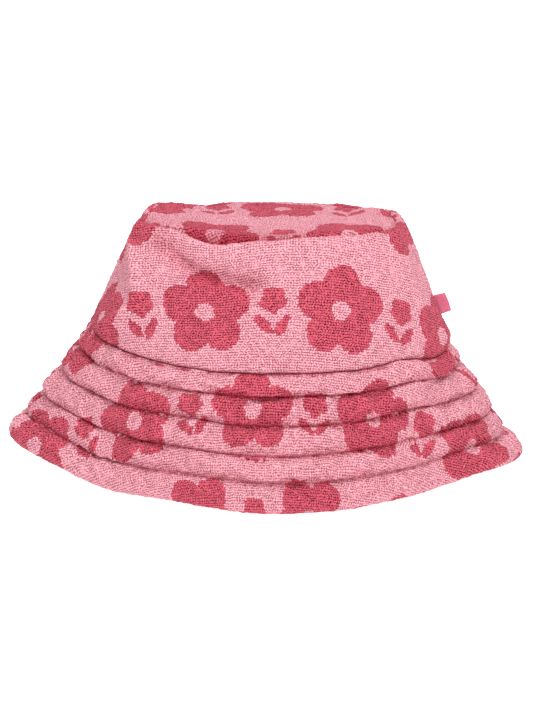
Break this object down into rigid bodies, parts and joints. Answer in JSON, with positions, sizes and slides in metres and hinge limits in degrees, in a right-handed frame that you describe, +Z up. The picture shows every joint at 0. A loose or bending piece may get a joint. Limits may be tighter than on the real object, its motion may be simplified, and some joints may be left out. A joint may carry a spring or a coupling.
{
  "type": "bucket hat",
  "caption": "Child's soft bucket hat: tapered crown with a sunken oval tip, a downward brim quilted in rings with a rolled hem, cotton lining and sweatband.",
  "frame": {"origin": "on the table under the middle of the brim, where the hem stands", "axes": "+X to the wearer's left, the right of a front view; +Y to the back; +Z up; the front faces -Y"},
  "size_m": [0.2702, 0.203, 0.1269],
  "materials": {
    "terry_outer": "rough",
    "terry_under": "rough",
    "interlining": "matte",
    "lining_cotton": "matte",
    "sweatband_cotton": "matte",
    "label_ribbon": "satin"
  },
  "bodies": {
    "root": {"crown_side_front": "terry_outer", "crown_side_back": "terry_outer", "crown_tip": "terry_outer", "brim_top_front": "terry_outer", "brim_top_back": "terry_outer", "brim_under_front": "terry_under", "brim_under_back": "terry_under", "interlining_front": "interlining", "interlining_back": "interlining", "lining_side_front": "lining_cotton", "lining_side_back": "lining_cotton", "lining_tip": "lining_cotton", "sweatband": "sweatband_cotton", "side_label": "label_ribbon"}
  },
  "joints": []
}
